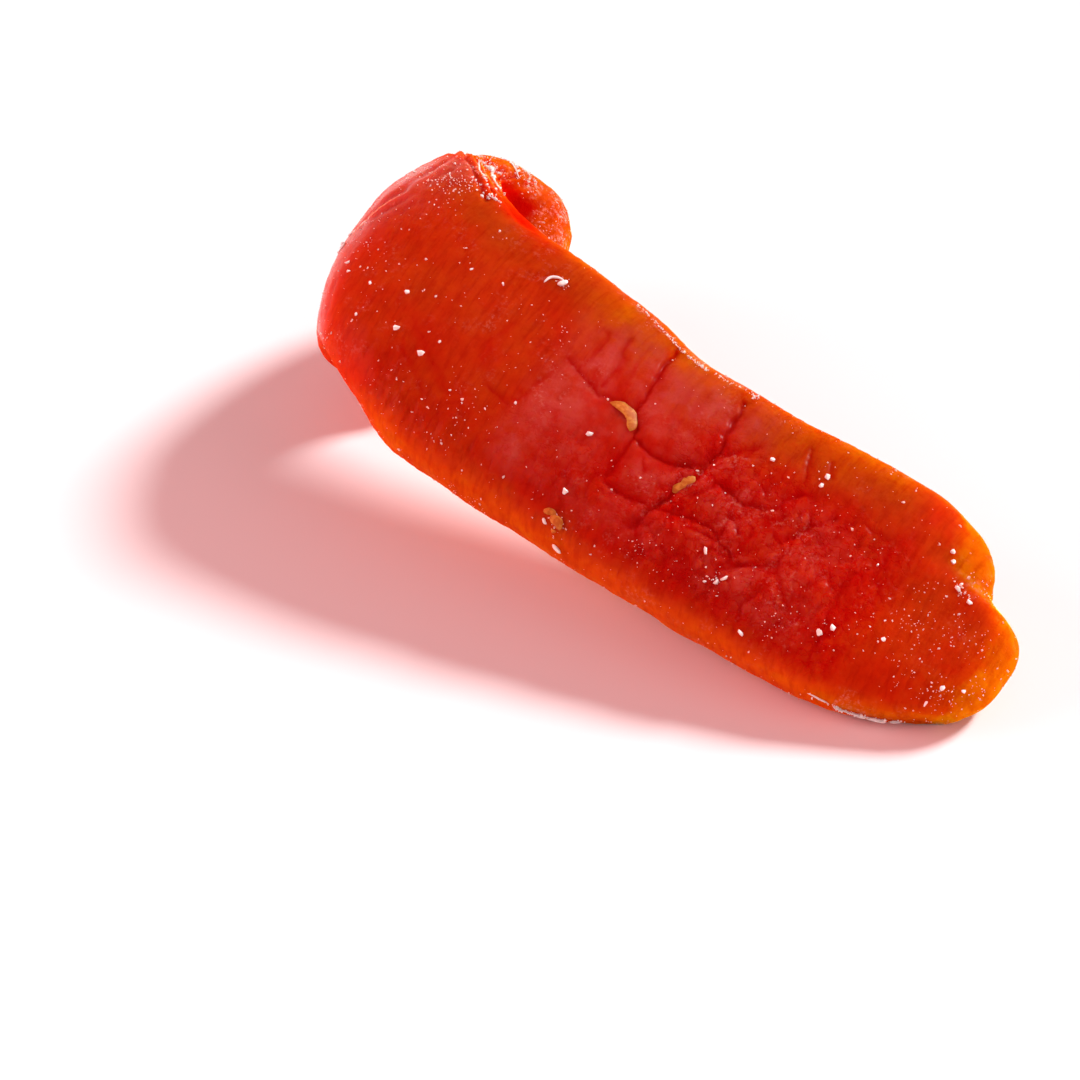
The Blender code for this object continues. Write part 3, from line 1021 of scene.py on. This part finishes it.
# noises: scale per metre, detail, roughness, low and high end of the used range, what they become
fleshNoise = {
    "broad": (160, 3, 0.5, 0.3, 0.7, -0.12, 0.12),
    "mottled": (700, 3, 0.6, 0.3, 0.7, 0, 0.4),
    "fibres": (1500, 3, 0.6, 0.42, 0.7, 0, 0.5),
    # patches of the painted sheen
    "pinkSheen": (500, 3, 0.5, 0.35, 0.6, 0.3, 1),
    "patch": (420, 3, 0.6, 0.42, 0.62, 0, 1),
    "rough": (900, 3, 0.5, 0.3, 0.7, 0.3, 0.42),
    "lines": (620, 3, 0.55),
    "speckle": (1900, 4, 0.7),
    "grain": (1300, 4, 0.6),
}
crystal = {
    "white": (0.95, 0.90, 0.86),
    "pink": (0.85, 0.28, 0.20),
    "sockets": {
        "Roughness": 0.3, "Specular IOR Level": 0.35, "Subsurface Weight": 0.6,
        "Subsurface Radius": (1, 0.8, 0.7), "Subsurface Scale": 0.0004,
    },
}
seedSkin = {
    "fresh": (0.50, 0.110, 0.010),
    "worn": (0.62, 0.210, 0.030),
    "noise": (1500, 3, 0.6, 0.4, 0.65, 0, 1),
    "sockets": {
        "Roughness": 0.5, "Specular IOR Level": 0.15, "Subsurface Weight": 0.5,
        "Subsurface Radius": (1, 0.4, 0.1), "Subsurface Scale": 0.0008,
    },
}


# red to orange by "rim", then each part of the look mixed in or multiplied by its own amount
def fleshFinish():
    material, tree, shader = newMaterial("candied_flesh")
    where = tree.nodes.new("ShaderNodeTexCoord").outputs["Object"]

    def own(name):
        return attributeNode(tree, name)

    def times(first, second):
        return mathNode(tree, "MULTIPLY", first, second)

    def patch(name, at=where):
        return patchNode(tree, at, fleshNoise[name])

    drawn = tree.nodes.new("ShaderNodeMapping")
    drawn.inputs["Scale"].default_value = flesh["fibresPulled"]
    link(tree, where, drawn.inputs["Vector"])
    fibres = patch("fibres", drawn.outputs["Vector"])
    # wrinkle lines in the wrinkled zone: bumped in, and darkened with the crease colour, partly as painted
    # shade in their grooves
    lines = mathNode(tree, "SUBTRACT", noiseNode(tree, where, *fleshNoise["lines"]), 0.5)
    lines = rangeNode(tree, mathNode(tree, "ABSOLUTE", lines, 0), 0, 0.05, 1, 0)
    lines = times(lines, own("wrinkled"))
    speckle = noiseNode(tree, where, *fleshNoise["speckle"])
    frosted = times(times(rangeNode(tree, speckle, 0.46, 0.66, 0, 1), patch("patch")), own("frost"))

    stops = zip((0, 0.38, 0.72, 1), ("heart", "halfway", "edge", "rim"))
    rim = mathNode(tree, "ADD", own("rim"), patch("broad"))
    colour = rampNode(tree, rim, [(place, flesh[name]) for place, name in stops])
    # Of these, the crease and line mixes are partly painted shade and the pink mix is painted sheen. The
    # two multiplies after the glow are painted shade at the back edge and painted light at the blunt end.
    # The film is partly painted sheen along the back edge
    for factor, name, blend in (
        (patch("mottled"), "mottle", "MULTIPLY"),
        (fibres, "fibre", "MULTIPLY"),
        (times(patch("pinkSheen"), own("paintedSheen")), "pinkSheen", "MIX"),
        (times(own("creaseRedAndShade"), flesh["creaseShare"]), "crack", "MIX"),
        (times(lines, flesh["lineShare"]), "crack", "MIX"),
        (own("glow"), "glow", "MIX"),
        (own("paintedBackShade"), "paintedBackShade", "MULTIPLY"),
        (own("paintedFrontLight"), "paintedFrontLight", "MULTIPLY"),
        (times(frosted, flesh["filmShare"]), "film", "MIX"),
    ):
        colour = mixNode(tree, factor, colour, flesh[name], blend)
    rough = mathNode(tree, "ADD", patch("rough"), times(frosted, flesh["filmRoughness"]))

    grain = noiseNode(tree, where, *fleshNoise["grain"])
    for part, height in ((speckle, 0.6), (fibres, -0.8), (lines, -0.9)):
        grain = mathNode(tree, "ADD", grain, times(part, height))
    bump = tree.nodes.new("ShaderNodeBump")
    setSockets(bump, flesh["bump"])
    link(tree, grain, bump.inputs["Height"])
    setSockets(shader, flesh["sockets"])
    link(tree, colour, shader.inputs["Base Color"])
    link(tree, rough, shader.inputs["Roughness"])
    link(tree, own("shine"), shader.inputs["Coat Weight"])
    link(tree, bump.outputs["Normal"], shader.inputs["Normal"])
    return material


# white crystals tinted by each one's "pink"
def sugarFinish():
    material, tree, shader = newMaterial("dried_sugar")
    colour = mixNode(tree, attributeNode(tree, "pink"), crystal["white"], crystal["pink"])
    link(tree, colour, shader.inputs["Base Color"])
    setSockets(shader, crystal["sockets"])
    return material


# brown skin, paler where it is worn
def seedFinish():
    material, tree, shader = newMaterial("seed_skin")
    where = tree.nodes.new("ShaderNodeTexCoord").outputs["Object"]
    worn = patchNode(tree, where, seedSkin["noise"])
    link(tree, mixNode(tree, worn, seedSkin["fresh"], seedSkin["worn"]), shader.inputs["Base Color"])
    setSockets(shader, seedSkin["sockets"])
    return material


# plain pale floor
def floorFinish():
    material, _, shader = newMaterial("pale_floor")
    setSockets(shader, studio["floorSockets"])
    return material


# floor, light and camera

studio = {
    "floorHalf": 3,
    "floorSockets": {"Base Color": (0.93, 0.93, 0.935, 1), "Roughness": 0.6, "Specular IOR Level": 0.2},
    # turn, rise, distance, aim
    "camera": (33.85, 42, 0.375, (-0.0117, -0.0149, -0.0023)),
    "lens": {"lens": 100, "sensor_width": 36, "clip_start": 0.01},
    # (height, brightness): bright walls, dim ceiling
    "sky": [(0, 1.05), (0.22, 0.48), (0.6, 0.2), (1, 0.17)],
    # the key: turn and rise in degrees seen from the spear, width in degrees, strength
    "key": (156, 34.5, 13, 4.25),
    # softboxes: turn, rise, distance, size, power in watts, tint
    "softboxes": [
        ("left_softbox", -58, 26, 1.3, 0.9, 17, (1, 0.26, 0.26)),
        ("right_softbox", 100, 26, 1.3, 0.9, 5, (1, 0.3, 0.29)),
    ],
}


# an object that looks back at its aim from a distance: turn 0 is the front (-Y), turning towards +X
def aimed(data, turn, rise, distance, aim=(0, 0, 0)):
    thing = bpy.data.objects.new(data.name, data)
    bpy.context.scene.collection.objects.link(thing)
    turn, rise = math.radians(turn), math.radians(rise)
    away = [math.sin(turn) * math.cos(rise), -math.cos(turn) * math.cos(rise), math.sin(rise)]
    thing.location = np.array(aim) + np.array(away) * distance
    thing.rotation_euler = Vector(away).to_track_quat("Z", "Y").to_euler()
    return thing


# a square plane at floor level
def makeFloor():
    half = studio["floorHalf"]
    corners = half * np.array([[-1, -1, 0], [1, -1, 0], [1, 1, 0], [-1, 1, 0]], float)
    floor = meshObject("floor", corners, [[0, 1, 2, 3]], smooth=False)
    floor.data.materials.append(floorFinish())


# the sky by height, the key light and the softboxes
def makeLights():
    world = bpy.data.worlds.new("studio")
    world.use_nodes = True
    tree = world.node_tree
    parts = tree.nodes.new("ShaderNodeSeparateXYZ")
    link(tree, tree.nodes.new("ShaderNodeTexCoord").outputs["Generated"], parts.inputs[0])
    stops = [(height, (bright, bright, bright)) for height, bright in studio["sky"]]
    link(tree, rampNode(tree, parts.outputs["Z"], stops), tree.nodes["Background"].inputs["Color"])
    bpy.context.scene.world = world
    turn, rise, width, strength = studio["key"]
    key = bpy.data.lights.new("key", "SUN")
    key.angle = math.radians(width)
    key.energy = strength
    aimed(key, turn, rise, 1)
    for name, turn, rise, distance, size, power, tint in studio["softboxes"]:
        light = bpy.data.lights.new(name, "AREA")
        light.color = tint
        light.shape = "DISK"
        light.size = size
        light.energy = power
        aimed(light, turn, rise, distance)


# the camera with its lens, in metres and millimetres
def makeCamera():
    lens = bpy.data.cameras.new("camera")
    for name, value in studio["lens"].items():
        setattr(lens, name, value)
    bpy.context.scene.camera = aimed(lens, *studio["camera"])


# the pieces with their finishes, then the floor, the lights and the camera
def main():
    fleshPiece, surface = makeSpear()
    fleshPiece.data.materials.append(fleshFinish())
    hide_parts(nodeName)
    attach(fleshPiece, "root")
    crystals = makeSugar(surface)
    crystals.data.materials.append(sugarFinish())
    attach(crystals, "root")
    seedBits = makeSeedBits(surface)
    seedBits.data.materials.append(seedFinish())
    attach(seedBits, "root")
    print("pieces made")
    makeFloor()
    makeLights()
    makeCamera()
    bpy.context.scene.view_settings.view_transform = "Standard"


main()
